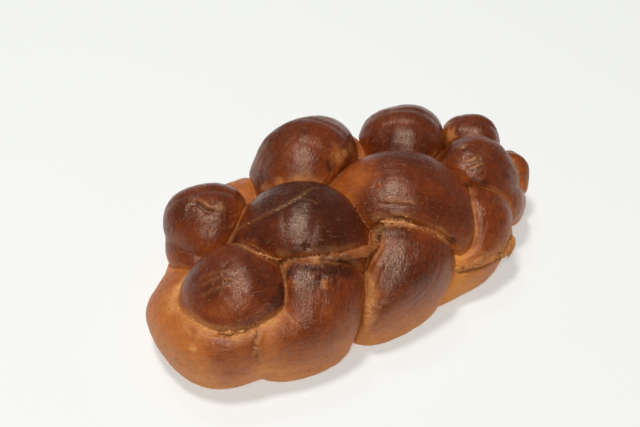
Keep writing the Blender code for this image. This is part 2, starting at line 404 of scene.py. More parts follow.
def smoothstep(low, high, value):
    """0 at low, 1 at high, eased between."""
    t = np.clip((value - low) / (high - low), 0.0, 1.0)
    return t * t * (3.0 - 2.0 * t)


def from_least(least, amount):
    """The amount, 0 to 1, as a share that starts from the least one."""
    return least + (1.0 - least) * amount


def noise_at(points, size, seed):
    """Smooth noise from -1 to 1 with features of about this size."""
    shift = Vector([seed * step for step in NOISE_SHIFT])
    return np.array([noise.noise(Vector(p) + shift) for p in points * (1 / size)])


def sample(field, low, points):
    """A field's value at each point, read between the grid's cells."""
    place = (points - low) / VOXEL
    cell = np.clip(np.floor(place).astype(int), 0, np.array(field.shape) - 2)
    part = np.clip(place - cell, 0.0, 1.0)
    total = np.zeros(len(points))
    for corner in itertools.product((0, 1), repeat=3):
        weight = np.prod(np.where(corner, part, 1.0 - part), axis=1)
        x, y, z = (cell + corner).T
        total += weight * field[x, y, z]
    return total


class Nearest:
    """For each point of the skin: its own bead, and the other strand's bead that it comes closest to."""

    def __init__(self, points, strings):
        self.centre = np.vstack([b.centre for b in strings]).astype(np.float32)
        self.axes = np.vstack([b.axes for b in strings]).astype(np.float32)
        self.sizes = np.vstack([b.sizes for b in strings]).astype(np.float32)
        self.rope = np.concatenate([np.full(len(b.run), b.rope) for b in strings])
        self.run = np.concatenate([b.run for b in strings]).astype(np.float32)
        self.part = np.concatenate([b.part for b in strings])
        self.frame = (self.axes / self.sizes[:, :, None]).reshape(-1, 3)
        self.shift = (self.frame * np.repeat(self.centre, 3, axis=0)).sum(axis=1)
        parts = [self.look(points[i:i + CHUNK]) for i in range(0, len(points), CHUNK)]
        self.own, self.other, self.gap, self.local = [np.concatenate(p) for p in zip(*parts)]

    def look(self, points):
        """The own bead, the other one, how much farther that is, and the place within the own one."""
        local = (points.astype(np.float32) @ self.frame.T - self.shift).reshape(len(points), -1, 3)
        distance = (np.sqrt((local**2).sum(axis=2)) - 1.0) * self.sizes.min(axis=1)
        own = distance.argmin(axis=1)
        rows = np.arange(len(points))
        same = self.rope[None, :] == self.rope[own][:, None]
        same &= np.abs(self.run[None, :] - self.run[own][:, None]) < SAME_STRAND
        others = np.where(same, NO_NEIGHBOUR, distance)
        other = others.argmin(axis=1)
        gap = others[rows, other] - distance[rows, own]
        return own, other, gap, local[rows, own]

    def strand_coordinates(self, faces):
        """Place along the strand and round it, in millimetres, and a number for the rope."""
        turn = np.arctan2(self.local[:, 1], self.local[:, 0])
        girth = self.sizes[self.own, :2].mean(axis=1)
        along, around = [
            spread(values, faces, rounds, SAME_STRETCH)
            for values, rounds in zip((self.run[self.own], turn * girth), STRAND_ROUNDS)
        ]
        return np.stack([along, around, self.rope[self.own] * ROPE_SHIFT], axis=1)

    def evened_along(self, values):
        """Values given bead by bead, evened out along each strand."""
        evened = values.astype(float)
        kernel = np.hanning(TOAST_BEADS + 2)[1:-1]
        for rope in np.unique(self.rope):
            mine = self.rope == rope
            padded = np.pad(evened[mine], TOAST_BEADS // 2, mode="edge")
            evened[mine] = np.convolve(padded, kernel / kernel.sum(), "valid")
        return evened

    def lies_under(self):
        """Where the point's own strand lies under the other one."""
        return self.centre[self.own, 2] < self.centre[self.other, 2]


# ---- Folds, torn edges and patches on the skin --------------------------------------------------
# A frill is a thin rim of torn skin.  Its path gives x, y, z and half width; then its thickness over its
# width, its lean outwards, how wavy it is and how pale.
Frill = namedtuple("Frill", "path thickness lean waves pale")
FRILL_STEP = 1.2            # spacing of its beads
FRILL_CLEFT = 1.2           # depth of the cleft beside it
FRILL_CLEFT_WIDTH = 0.8
FRILL_WIDTH_WAVE = 6.0      # length of the waves in its width
FRILL_LIFT_WAVE = 4.0       # and of those in its height
FRILL_LIFT_SEED = 5
FRILLS = [
    # the flap that hangs from the lower edge of the second middle lobe
    Frill([(-62, -38, 74, 1.4), (-50, -45, 74, 2.6), (-38, -49, 73, 3.4), (-26, -52, 71, 3.8),
           (-15, -53, 70, 3.4), (-6, -51, 69, 2.6), (1, -43, 69, 1.6)], 0.7, -0.8, 0.45, 0.15),
    # the rim in the crease below the third middle lobe
    Frill([(4, -36, 74, 0.9), (12, -41, 73, 1.6), (20, -47, 72, 1.8), (29, -55, 69, 1.6),
           (38, -62, 65, 1.3), (45, -69, 58, 0.9)], 0.8, -0.9, 1.0, 0.65),
    # the torn rim low on the right, by the tucked end, and the bits that stand out at its end
    Frill([(46, -77, 36, 1.6), (58, -81, 37, 2.4), (70, -83, 37, 3.0), (84, -82, 35, 3.2),
           (95, -78, 32, 2.4)], 0.8, -0.6, 0.7, 0.35),
    Frill([(98, -72, 40, 2.0), (98, -77, 34, 3.6), (95, -81, 28, 3.4), (88, -84, 24, 2.0)],
          0.8, -0.5, 1.6, 0.6),
    Frill([(104, -70, 33, 1.4), (103, -77, 29, 2.8), (100, -82, 22, 1.8)], 0.8, -0.5, 1.8, 0.7),
    Frill([(84, -80, 36, 1.2), (88, -84, 33, 2.2), (91, -86, 28, 1.2)], 0.8, -0.3, 1.8, 0.8),
    Frill([(95, -76, 37, 1.2), (98, -82, 34, 2.4), (99, -85, 29, 1.2)], 0.8, -0.2, 1.8, 0.8),
    # the thin lip between the first two middle lobes
    Frill([(-92, -4, 79, 1.0), (-89, -15, 81, 1.4), (-84, -24, 80, 1.4), (-77, -30, 77, 1.3),
           (-68, -34, 74, 1.0)], 0.7, -0.5, 0.3, 0.45),
    # the rough line where the first lobe rises out of the fold
    Frill([(-142, -10, 51, 0.9), (-148, -24, 54, 1.4), (-150, -36, 54, 1.7), (-147, -44, 55, 1.7),
           (-140, -49, 56, 1.4), (-129, -55, 57, 1.5), (-117, -60, 57, 1.3), (-108, -62, 57, 0.9)],
          0.9, -0.6, 1.1, 0.95),
]

# A fold is a ridge with a groove beside it: half width, height, depth, how pale the ridge is, and how
# strongly painted shade darkens the groove.  The ridge lies on the left of the path, seen from outside the
# loaf, the groove on the right.
Fold = namedtuple("Fold", "path width rise groove pale dark")
RIDGE_SIDE = 0.7            # how far the ridge lies from the path, over the fold's half width
GROOVE_SIDE = 0.6           # and how far the groove does
GROOVE_WIDTH = 0.7          # the groove's half width, over the fold's
PATH_STEP = 1.5             # spacing of the points that a path is read at
PATH_REACH = 14.0           # the fold marks the skin no farther from its path than this
PATH_ENDS = (-1.0, 7.0)     # it comes up between these distances from its end
PATH_OFF = (9.0, 5.0)       # and is lost where the skin runs this far above or below the path
WANDER = 0.8                # how far it strays from side to side
FOLDS = [
    # the seam over the second middle lobe
    Fold([(-90, 17, 70), (-81, 13, 72), (-73, 5, 79), (-62, -1, 87), (-50, -4, 92), (-38, -4, 94),
          (-18, 0, 92)], 1.4, 0.6, 0.6, 0.15, 0.5),
    # the crumpled ridge and hollow on the first left lobe
    Fold([(-102, 48, 78), (-96, 44, 80), (-93, 35, 80), (-88, 30, 79)], 2.2, 1.3, 1.6, 0.2, 0.7),
    # fine wrinkles over the first middle lobe
    Fold([(-133, -20, 68), (-128, -24, 74), (-121, -28, 78), (-115, -34, 80), (-107, -46, 79)],
         1.3, 0.5, 0.4, 0.12, 0.2),
    Fold([(-133, -28, 68), (-126, -32, 75), (-119, -37, 78), (-112, -43, 79)], 1.2, 0.4, 0.4, 0.10, 0.2),
    Fold([(-130, -17, 71), (-123, -21, 77), (-115, -27, 81), (-108, -34, 82)], 1.2, 0.4, 0.4, 0.10, 0.2),
    # lines where the skin of the second right lobe stretched
    Fold([(1, -55, 68), (-8, -59, 63), (-17, -64, 56), (-24, -69, 46)], 1.3, 0.5, 0.4, 0.20, 0.2),
    Fold([(3, -61, 68), (-8, -66, 63), (-17, -71, 55), (-24, -77, 46)], 1.2, 0.4, 0.4, 0.14, 0.15),
    Fold([(1, -51, 68), (-9, -54, 63), (-18, -59, 55)], 1.2, 0.4, 0.4, 0.20, 0.2),
    # wrinkles along the third middle lobe's lower side
    Fold([(11, -27, 81), (19, -34, 83), (27, -41, 83), (36, -47, 82)], 1.8, 0.8, 0.7, 0.2, 0.3),
    Fold([(13, -37, 76), (21, -44, 76), (29, -50, 74)], 1.6, 0.6, 0.9, 0.3, 0.7),
    # wrinkles at the near side of the fourth middle lobe
    Fold([(96, -9, 74), (102, -11, 76), (108, -12, 76)], 1.8, 0.9, 1.0, 0.3, 0.5),
    Fold([(92, -22, 74), (100, -26, 76), (107, -26, 76)], 2.0, 1.1, 1.2, 0.35, 0.6),
    Fold([(91, -29, 72), (98, -31, 74), (106, -33, 75)], 1.6, 0.7, 0.9, 0.3, 0.5),
    # the forked cut at the root of the first right lobe
    Fold([(-108, -63, 56), (-115, -68, 52), (-120, -71, 47), (-123, -72, 43)], 1.5, 0.8, 1.3, 0.4, 0.7),
    Fold([(-115, -69, 51), (-117, -72, 45), (-117, -74, 40), (-118, -75, 35)], 1.3, 0.6, 1.0, 0.35, 0.6),
    # the crease under the torn rim
    Fold([(46, -77, 33), (58, -82, 33), (70, -84, 33), (84, -83, 30), (92, -81, 26)],
         1.8, 0.8, 2.2, 0.5, 0.8),
    # the cut beside the flap, and the one where two lobes part on the near side
    Fold([(3, -42, 70), (0, -47, 68), (-4, -50, 66), (-9, -52, 62)], 2.0, 0.2, 2.2, 0.0, 1.0),
    Fold([(6, 30, 84), (6, 23, 78), (2, 19, 72)], 1.6, 0.3, 1.3, 0.1, 0.9),
]

# A patch is a round area: radius, change of browning, which below darkens some creases and dimples as
# painted shade, how pale, height
Patch = namedtuple("Patch", "x y z radius toast pale rise", defaults=(0.0, 0.0))
PATCH_EDGE = (1.25, 0.45)   # it fades between these distances from its middle, over its radius
PATCH_LIMIT = 2.0           # and is gone before this one
PATCH_RAGGED = 0.5          # how ragged its edge is
PATCH_WAVES = 1.6           # ragged waves to a radius
PATCHES = [
    # the shoulder of the fold, and a nick in it
    Patch(-130, -64, 49, 24, 0.17, 0.0, 0.4),
    Patch(-152, -47, 48, 3, -0.2, 0.6, 0.2),
    # shade under the flap and by the end of it
    Patch(-66, -46, 71, 10, 0.22),
    Patch(-50, -52, 72, 12, 0.22),
    Patch(-36, -57, 69, 10, 0.25),
    Patch(0, -45, 69, 6, 0.30),
    Patch(5, -39, 73, 6, 0.25),
    # both ends of the first right lobe
    Patch(-20, -60, 60, 9, -0.20),
    Patch(-100, -63, 58, 14, 0.14),
    Patch(-14, -70, 42, 13, -0.25, 0.10),
    # the pale root of the third middle lobe, and the first one's edge
    Patch(8, 6, 82, 25, -0.32),
    Patch(-118, -48, 66, 17, -0.20),
    # a dimple low on the second middle lobe, darkened with painted shade
    Patch(-55, -36, 81, 3, 0.2, 0.0, -1.0),
    # painted shade in the creases round the first middle lobe, and a paler place in them
    Patch(-88, 8, 66, 6, 0.15),
    Patch(-76, -42, 69, 6, 0.20),
    Patch(-84, -52, 69, 6, 0.22),
    Patch(-91, -58, 66, 7, 0.22),
    Patch(-82, -8, 75, 5, -0.10, 0.05),
    # the lump in the crumpled hollow
    Patch(-85, 31, 80, 5, 0.1, 0.2, 1.6),
    # the small chip in the first right lobe, painted shadow in the dimple beside it, and a pale spot above
    # it
    Patch(-57, -62, 70, 2.2, -0.25, 0.30, 0.5),
    Patch(-58, -65, 69, 2.2, -0.25, 0.30, 0.5),
    Patch(-57, -58, 71, 2.4, 0.25, 0.0, -1.2),
    Patch(-53, -45, 75, 4, -0.2, 0.5, 0.3),
    # pale skin where the second left lobe parts from its neighbours, and where the fourth does
    Patch(14, 30, 81, 10, -0.20, 0.10),
    Patch(16, 29, 80, 4, -0.10, 0.45),
    Patch(23, 32, 78, 4, -0.10, 0.45),
    Patch(31, 37, 74, 4, -0.10, 0.40),
    Patch(-36, 46, 62, 5, -0.10, 0.30),
    Patch(-30, 39, 70, 5, -0.10, 0.35),
    Patch(-19, 28, 75, 5, -0.10, 0.35),
    Patch(36, 42, 68, 9, -0.25, 0.10),
    Patch(119, 25, 56, 5, -0.2, 0.45),
    # torn skin low on the right, darker crust above it, and a dimple by the end of the rough rim, darkened
    # with painted shade
    Patch(90, -81, 32, 4, -0.4, 0.5, 0.5),
    Patch(77, -84, 33, 4, -0.4, 0.5, 0.4),
    Patch(93, -37, 61, 10, 0.28),
    Patch(86, -47, 63, 8, 0.20),
    Patch(50, -67, 54, 4, 0.25, 0.0, -1.0),
]

# where flakes of crust stand loose: x, y, z and radius
FLAKY = [
    (92, -81, 32, 7), (80, -84, 34, 8), (64, -82, 37, 7), (-147, -30, 55, 7), (-148, -44, 55, 6),
    (-130, -56, 57, 8), (-115, -61, 58, 8), (98, -80, 28, 9), (-6, -48, 70, 5), (20, -48, 71, 8),
    (34, -60, 66, 7),
]
FLAKY_EDGE = (1.3, 0.3)     # they thin out between these distances, over the radius
FLAKY_CREASES = 0.04        # how thickly they stand in young skin
FLAKY_HEIGHT = (4.0, 9.0)   # none stand below this, and they come in up to here

# The browning.  A share here is what is left where the heat reached least.
HEAT_HEIGHT = (-6.0, 62.0)  # the crust takes more heat from here up to here
LOW_SHARE = 0.22
HEAT_FACING = (-0.7, 0.7)   # and more as it turns up, by its normal's z
DOWN_SHARE = 0.60
BLOTCH_HEAT = 0.10          # how much the blotches change it
SHELTER = (0.2, 0.85)       # openness of a place that is sheltered, and of one that isn't
SHELTER_LOSS = 0.10
RIM_REACH = 7.0             # how far a lobe's paler rim comes up from the crease
RIM_SHOWS = (-0.3, 0.4)     # the noise at which it begins to show, and shows fully
RIM_LOSS = 0.27
TOAST_BEADS = 17            # beads over which a strand's browning is evened out
TOAST_ROUNDS = 8            # and rounds of smoothing over the skin
# how brown each part is, before its height and the way it faces are counted
TOAST = {
    "middle_1": 0.74, "middle_2": 0.90, "middle_3": 0.73, "middle_4": 0.68,
    "left_1": 0.71, "left_2": 0.74, "left_3": 0.74, "left_4": 0.72,
    "right_1": 0.66, "right_2": 0.78, "right_3": 0.62, "right_4": 0.66,
    "fold": 0.34, "base": 0.26, "frill": 0.60,
}

# pale young skin that opened where the first strand slips under the second: how pale, and how wide
YOUNG_SKIN = {
    ("fold", "middle_1"): (1.00, 2.6),
    ("fold", "left_1"): (0.50, 2.5),
    ("fold", "right_1"): (0.22, 1.5),
    ("right_1", "middle_1"): (0.55, 0.9),
    ("left_1", "middle_1"): (0.60, 1.6),
    ("left_1", "middle_2"): (0.60, 2.2),
    ("left_2", "middle_2"): (0.40, 5.0),
    ("left_2", "middle_3"): (0.70, 3.5),
    ("left_3", "middle_3"): (0.30, 3.0),
    ("left_3", "middle_4"): (0.70, 2.5),
    ("middle_4", "middle_3"): (0.50, 2.2),
    ("right_1", "middle_2"): (0.45, 2.0),
    ("right_2", "middle_2"): (0.20, 1.2),
    ("right_3", "middle_3"): (0.50, 1.5),
    ("right_2", "middle_3"): (0.50, 1.6),
    ("right_2", "right_1"): (0.60, 7.0),
    ("right_3", "middle_4"): (0.50, 2.5),
    ("middle_2", "middle_1"): (0.35, 1.0),
}
PLAIN_CREASE = (0.25, 2.0)  # the same for every other crease
CREASE_ROUNDS = 3           # rounds of smoothing
COARSE_EDGE = 0.6           # how much the coarse and the fine noise vary the width
FINE_EDGE = 0.4
CREASE_GAP = 1.6            # how far the other strand is at the band's edge, over its width
CREASE_FADE = (1.0, 0.25)   # the band fades between these shares of that
PATCHY_SHOWS = (-0.55, 0.25)  # the noise at which it is weakest, and full
PATCHY_LEAST = 0.30
LINE_PALE = 0.45            # the thin line on the upper strand, over the lower one's band
LINE_FADE = (1.8, 0.6)      # it fades between these gaps ...
LINE_EDGE = 0.5             # ... which the coarse noise varies by this much
BASE_RIM = (5.0, 4.0)       # height and half height of the pale rim by the base
BASE_RIM_PALE = 0.5

OPEN_REACHES = (4.0, 8.0, 14.0)  # how far out each place looks for open air
OPEN_STEP = 1.5             # how far out the field's rise at the skin is read
LEAST_RISE = 0.3            # and the least that it is taken to be

# how high the unevenness of each kind stands
SWELL = 0.7
DIMPLE = 0.3
BLISTER = 0.22
TORN = 0.5
BLISTER_STRETCH = (0.16, 0.42, 1.0)  # blisters to a millimetre, along the strand and round it
CALM_BASE = (0.0, 14.0)     # the base is flat, and the skin fully uneven from here up

# the size and the seed of each kind of noise
BLOTCHES = (38.0, 1)
COARSE = (9.0, 2)
FINE = (3.0, 3)
PATCHY = (21.0, 4)
SWELLS = (24.0, 5)
DIMPLES = (9.0, 6)
BLISTERS = (1.0, 7)
TEARS = (2.2, 8)
STRAYING = (6.0, 9)
RIMS = (30.0, 11)
RAGGED_SEED = 10


def point_normals(points, faces):
    a, b, c = [points[faces[:, i]] for i in range(3)]
    face = np.cross(b - a, c - a)
    normals = np.stack([
        sum(np.bincount(faces[:, i], face[:, axis], len(points)) for i in range(3)) for axis in range(3)
    ], axis=1)
    return normals / np.maximum(np.linalg.norm(normals, axis=1), TINY)[:, None]


def spread(values, faces, rounds=1, within=np.inf):
    """The values, evened out along the edges of the skin, but not over a step larger than within."""
    ends = np.concatenate([faces[:, [0, 1]], faces[:, [1, 2]], faces[:, [2, 0]]])
    ends = ends[np.abs(values[ends[:, 0]] - values[ends[:, 1]]) < within]
    count = np.bincount(ends[:, 0], minlength=len(values)) + 1.0
    for _ in range(rounds):
        values = (values + np.bincount(ends[:, 0], values[ends[:, 1]], len(values))) / count
    return values


def beside(points, normals, path):
    """The points close to a path, how far right of it they lie, and how strongly it marks them."""
    path = np.array(path, dtype=float)
    route = np.column_stack([path, np.zeros((len(path), 3))])
    line = even_steps(smooth_route(route), PATH_STEP)[:, :3]
    inside = (points > line.min(axis=0) - PATH_REACH) & (points < line.max(axis=0) + PATH_REACH)
    close = np.where(inside.all(axis=1))[0]
    gaps = ((points[close][:, None, :] - line[None]) ** 2).sum(axis=2)
    nearest = gaps.argmin(axis=1)
    ahead = np.gradient(line, axis=0)
    ahead /= np.linalg.norm(ahead, axis=1)[:, None]
    right = np.cross(ahead[nearest], normals[close])
    offset = points[close] - line[nearest]
    side = (offset * right).sum(axis=1)
    beyond = np.abs((offset * ahead[nearest]).sum(axis=1))
    end = np.minimum(nearest, len(line) - 1 - nearest) * PATH_STEP
    off = np.sqrt(gaps.min(axis=1)) - np.abs(side)
    return close, side, smoothstep(*PATH_ENDS, end - beyond) * smoothstep(*PATH_OFF, off)


def raise_to(values, chosen, least):
    values[chosen] = np.maximum(values[chosen], least)


def bell(distance, width):
    return np.exp(-((distance / width) ** 2))


class Skin:
    """The loaf's skin: its points, its faces, and what the oven did to each point."""

    def __init__(self):
        strings, halves = zip(*[rope_beads(rope, number) for number, rope in enumerate(ROPES)])
        frills = [frill_beads(frill, len(ROPES) + number) for number, frill in enumerate(FRILLS)]
        low, axes = grid_axes()
        field = dough_field(strings, halves, frills, low, axes)
        grid = openvdb.FloatGrid(FAR)
        grid.copyFromArray(field.astype(np.float32))
        points, quads = grid.convertToQuads(0.0)
        points, quads = outer_shell(np.asarray(points) * VOXEL + low, np.asarray(quads))
        points, self.faces = thinned(points, quads)
        normals = point_normals(points, self.faces)
        self.near = Nearest(points, list(strings) + frills)
        self.open = self.openness(field, low, points, normals)
        self.points = hold_sides(points)
        self.normals = point_normals(self.points, self.faces)
        self.toast = self.browning()
        self.young = self.young_skin()
        # painted shade that the folds' grooves get, set in mark
        self.dark = np.zeros(len(points))
        self.strand = self.near.strand_coordinates(self.faces)
        self.unevenness()
        self.mark()
        self.normals = point_normals(self.points, self.faces)

    def openness(self, field, low, points, normals):
        """1 where the skin faces open air, and less down in the clefts between strands."""
        rise = np.maximum(sample(field, low, points + normals * OPEN_STEP) / OPEN_STEP, LEAST_RISE)
        total = np.zeros(len(points))
        for reach in OPEN_REACHES:
            total += np.clip(sample(field, low, points + normals * reach) / (rise * reach), 0.0, 1.0)
        return total / len(OPEN_REACHES)

    def browning(self):
        """How much heat each place took, from 0, pale dough, to 1, the darkest glaze."""
        beads = self.near.evened_along(np.array([TOAST[name] for name in PARTS])[self.near.part])
        base = spread(beads[self.near.own], self.faces, TOAST_ROUNDS)
        height = smoothstep(*HEAT_HEIGHT, self.points[:, 2])
        facing = smoothstep(*HEAT_FACING, self.normals[:, 2])
        blotches = noise_at(self.points, *BLOTCHES)
        sheltered = 1.0 - smoothstep(*SHELTER, self.open)
        heat = base * from_least(LOW_SHARE, height) * from_least(DOWN_SHARE, facing) + BLOTCH_HEAT * blotches
        rim = np.exp(-self.near.gap / RIM_REACH) * smoothstep(*RIM_SHOWS, noise_at(self.points, *RIMS))
        rim = spread(rim, self.faces, TOAST_ROUNDS)
        return np.clip(heat - SHELTER_LOSS * sheltered - RIM_LOSS * rim, 0.0, 1.0)

    def young_skin(self):
        """Pale young skin that opened beside a crease as the strands swelled apart."""
        near = self.near
        creases = np.tile(PLAIN_CREASE, (len(PARTS), len(PARTS), 1))
        for (under, over), crease in YOUNG_SKIN.items():
            creases[PARTS.index(under), PARTS.index(over)] = crease
        pale, wide = creases[:, :, 0], creases[:, :, 1]
        own, other = near.part[near.own], near.part[near.other]
        coarse = noise_at(self.points, *COARSE)
        fine = noise_at(self.points, *FINE)
        patchy = smoothstep(*PATCHY_SHOWS, noise_at(self.points, *PATCHY))
        ragged = 1.0 + COARSE_EDGE * coarse + FINE_EDGE * fine
        width = spread(wide[own, other], self.faces, CREASE_ROUNDS) * ragged
        amount = spread(pale[own, other], self.faces, CREASE_ROUNDS)
        edge = smoothstep(*CREASE_FADE, near.gap / np.maximum(width * CREASE_GAP, 1.0))
        line = smoothstep(*LINE_FADE, near.gap / (1.0 + LINE_EDGE * coarse)) * LINE_PALE * pale[other, own]
        band = np.where(near.lies_under(), amount * edge, line) * from_least(PATCHY_LEAST, patchy)
        middle, reach = BASE_RIM
        rim = BASE_RIM_PALE * bell(self.points[:, 2] - middle, reach) * patchy
        for number, frill in enumerate(FRILLS):
            band[near.rope[near.own] == len(ROPES) + number] = frill.pale
        return spread(np.clip(np.maximum(band, rim), 0.0, 1.0), self.faces)

    def unevenness(self):
        """Swells and dimples of the risen dough, with small blisters drawn out along the strands."""
        swells = SWELL * noise_at(self.points, *SWELLS) + DIMPLE * noise_at(self.points, *DIMPLES)
        blisters = BLISTER * noise_at(self.strand * BLISTER_STRETCH, *BLISTERS)
        torn = TORN * self.young * noise_at(self.points, *TEARS)
        self.move((swells + blisters) * smoothstep(*CALM_BASE, self.points[:, 2]) + torn)

    def flaky(self):
        """How thickly each place is set with loose flakes of crust."""
        amount = FLAKY_CREASES * self.young
        for x, y, z, radius in FLAKY:
            far = np.linalg.norm(self.points - (x, y, z), axis=1) / radius
            amount = np.maximum(amount, smoothstep(*FLAKY_EDGE, far))
        return amount * smoothstep(*FLAKY_HEIGHT, self.points[:, 2])

    def move(self, height, chosen=slice(None)):
        self.points[chosen] += self.normals[chosen] * height[:, None]

    def mark(self):
        """Folds, grooves darkened with painted shade, and patches, some of which paint shade."""
        for fold in FOLDS:
            close, side, taper = beside(self.points, self.normals, fold.path)
            side = side + WANDER * noise_at(self.points[close], *STRAYING)
            ridge = bell(side + RIDGE_SIDE * fold.width, fold.width) * taper
            groove = bell(side - GROOVE_SIDE * fold.width, GROOVE_WIDTH * fold.width) * taper
            self.move(fold.rise * ridge - fold.groove * groove, close)
            raise_to(self.young, close, fold.pale * ridge)
            # painted shade darkens the groove
            raise_to(self.dark, close, fold.dark * groove)
        for patch in PATCHES:
            offset = self.points - (patch.x, patch.y, patch.z)
            far = np.linalg.norm(offset, axis=1) / patch.radius
            close = np.where(far < PATCH_LIMIT)[0]
            waves = noise_at(self.points[close], patch.radius / PATCH_WAVES, RAGGED_SEED)
            amount = smoothstep(*PATCH_EDGE, far[close] * (1.0 + PATCH_RAGGED * waves))
            self.move(patch.rise * amount, close)
            # the patches that darken creases and dimples paint shade into the browning here
            self.toast[close] = np.clip(self.toast[close] + patch.toast * amount, 0.0, 1.0)
            raise_to(self.young, close, patch.pale * amount)


def fit_to_part(points):
    """Sets the skin in the box of the part's own solid."""
    low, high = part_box("braided_loaf")
    size = np.array(high - low) / MM
    mine = points.max(axis=0) - points.min(axis=0)
    return (points - points.min(axis=0)) * (size / mine) + np.array(low) / MM


def skin_object(name, points, faces, attributes):
    mesh = bpy.data.meshes.new(name)
    mesh.from_pydata((points * MM).tolist(), [], faces.tolist())
    for key, values in attributes.items():
        kind = "FLOAT_VECTOR" if values.ndim == 2 else "FLOAT"
        layer = mesh.attributes.new(key, kind, "POINT")
        layer.data.foreach_set("vector" if values.ndim == 2 else "value", values.astype(np.float32).ravel())
    mesh.update()
    mesh.shade_smooth()
    return new_object(name, mesh)


# ---- Shader maths -------------------------------------------------------------------------------
def operator(operation, reflected=False):
    """The method behind one operator, which adds a Math node."""
    def method(value, other):
        first, second = (other, value) if reflected else (value, other)
        return value.shader.node("ShaderNodeMath", {"operation": operation}, {0: first, 1: second})
    return method


class Value:
    """One socket of a material. Sums on it add Math nodes."""

    __add__ = operator("ADD")
    __radd__ = operator("ADD", reflected=True)
    __sub__ = operator("SUBTRACT")
    __rsub__ = operator("SUBTRACT", reflected=True)
    __mul__ = operator("MULTIPLY")
    __rmul__ = operator("MULTIPLY", reflected=True)

    def __init__(self, shader, socket):
        self.shader = shader
        self.socket = socket

    def centred(self):
        """A noise's value, counted from its middle."""
        return self - 0.5

    def clamp(self):
        return self.shader.node("ShaderNodeClamp", {}, {"Value": self})

    def between(self, low, high):
        """0 at low, 1 at high, eased between."""
        inputs = {"Value": self, "From Min": low, "From Max": high}
        return self.shader.node("ShaderNodeMapRange", {"interpolation_type": "SMOOTHSTEP"}, inputs)


class Nodes:
    """A tree of nodes, with one method for every node."""

    def __init__(self, tree):
        self.tree = tree

    def add(self, kind, settings, inputs):
        """A new node's outputs; settings are made first, then values or links go into its sockets."""
        node = self.tree.nodes.new(kind)
        for key, value in settings.items():
            if key == "stops":
                self.set_stops(node.color_ramp, value)
            else:
                setattr(node, key, value)
        for key, value in inputs.items():
            self.feed(node.inputs[key], value)
        return node.outputs

    def feed(self, socket, value):
        if isinstance(value, bpy.types.NodeSocket):
            self.tree.links.new(value, socket)
        else:
            socket.default_value = value

    def set_stops(self, ramp, stops):
        while len(ramp.elements) < len(stops):
            ramp.elements.new(0.5)
        for element, (place, colour) in zip(ramp.elements, stops):
            element.position = place
            element.color = colour


class Shader(Nodes):
    """A material with a Principled BSDF."""

    def __init__(self, name):
        self.material = bpy.data.materials.new(name)
        self.material.use_nodes = True
        super().__init__(self.material.node_tree)

    def node(self, kind, settings, inputs, output=0):
        return Value(self, self.add(kind, settings, inputs)[output])

    def feed(self, socket, value):
        super().feed(socket, value.socket if isinstance(value, Value) else value)

    def finish(self, **inputs):
        surface = self.tree.nodes["Principled BSDF"]
        for key, value in inputs.items():
            self.feed(surface.inputs[key.replace("_", " ")], value)
        return self.material

    def attribute(self, name, output="Fac"):
        return self.node("ShaderNodeAttribute", {"attribute_name": name}, {}, output)

    def stretch(self, vector, scale):
        return self.node("ShaderNodeVectorMath", {"operation": "MULTIPLY"}, {0: vector, 1: scale})

    def noise(self, vector, scale, detail, roughness):
        inputs = {"Vector": vector, "Scale": scale, "Detail": detail, "Roughness": roughness}
        return self.node("ShaderNodeTexNoise", {}, inputs, "Fac")

    def mix(self, amount, first, second):
        inputs = {0: amount, 6: first, 7: second}
        return self.node("ShaderNodeMix", {"data_type": "RGBA"}, inputs, 2)

    def ramp(self, amount, colours):
        """Blends the paints, each set at its place, by the amount."""
        stops = [(place, paint(*colour)) for place, colour in colours]
        return self.node("ShaderNodeValToRGB", {"stops": stops}, {"Fac": amount}, "Color")


def paint(red, green, blue):
    """A paint chip's 0 to 255 values as the light values that a shader takes."""
    def light(value):
        value /= 255
        return value / 12.92 if value <= 0.04045 else ((value + 0.055) / 1.055) ** 2.4
    return (light(red), light(green), light(blue), 1.0)


# ---- Crust ----------------------------------------------------------------------------------------
# A pattern: its noise's scale, detail and roughness, how it is stretched if it runs along the strands,
# how much it shifts the browning and how high it stands.
Pattern = namedtuple("Pattern", "scale detail roughness stretch browning relief")
PATTERNS = {
    "cloud": Pattern(55.0, 3.0, 0.60, None, 0.42, 0.40),
    "mottle": Pattern(300.0, 3.0, 0.65, None, 0.34, 0.60),
    "streaks": Pattern(1.0, 2.0, 0.60, (0.10, 0.55, 1.0), 0.20, 0.60),
    "dashes": Pattern(1.0, 2.0, 0.50, (0.36, 1.40, 1.0), 0.0, 0.50),
    "grain": Pattern(1300.0, 2.0, 0.50, None, 0.0, 0.45),
    "specks": Pattern(750.0, 1.0, 0.50, None, 0.0, 0.0),
}
RELIEF = {"Strength": 0.5, "Distance": 0.0009}  # of the bump, the distance in metres

# paints from the palest crust to the darkest, and of the young skin, each at its place in the scale
BAKED = [
    (0.00, (212, 132, 54)),
    (0.20, (186, 105, 42)),
    (0.40, (154, 76, 25)),
    (0.60, (118, 48, 14)),
    (0.80, (82, 28, 7)),
    (1.00, (54, 15, 2)),
]
YOUNG = [(0.30, (178, 104, 50)), (0.52, (204, 140, 78)), (0.75, (226, 176, 114))]
# painted shade in the folds' grooves: its paint, and how far the colour goes towards it
GROOVE_SHADE_PAINT = (44, 22, 15)
GROOVE_SHADE_STRENGTH = 0.75

# pale flecks and specks: where each shows in its own noise, where in a wider one, and how pale it is
FLECKS = ((0.58, 0.70), (0.44, 0.58), 0.24)
SPECKS = ((0.64, 0.74), (0.40, 0.60), 0.26)
YOUNG_LEAST = 0.70          # strength of the young skin's paleness, and how much the mottle adds
YOUNG_MOTTLE = 0.8

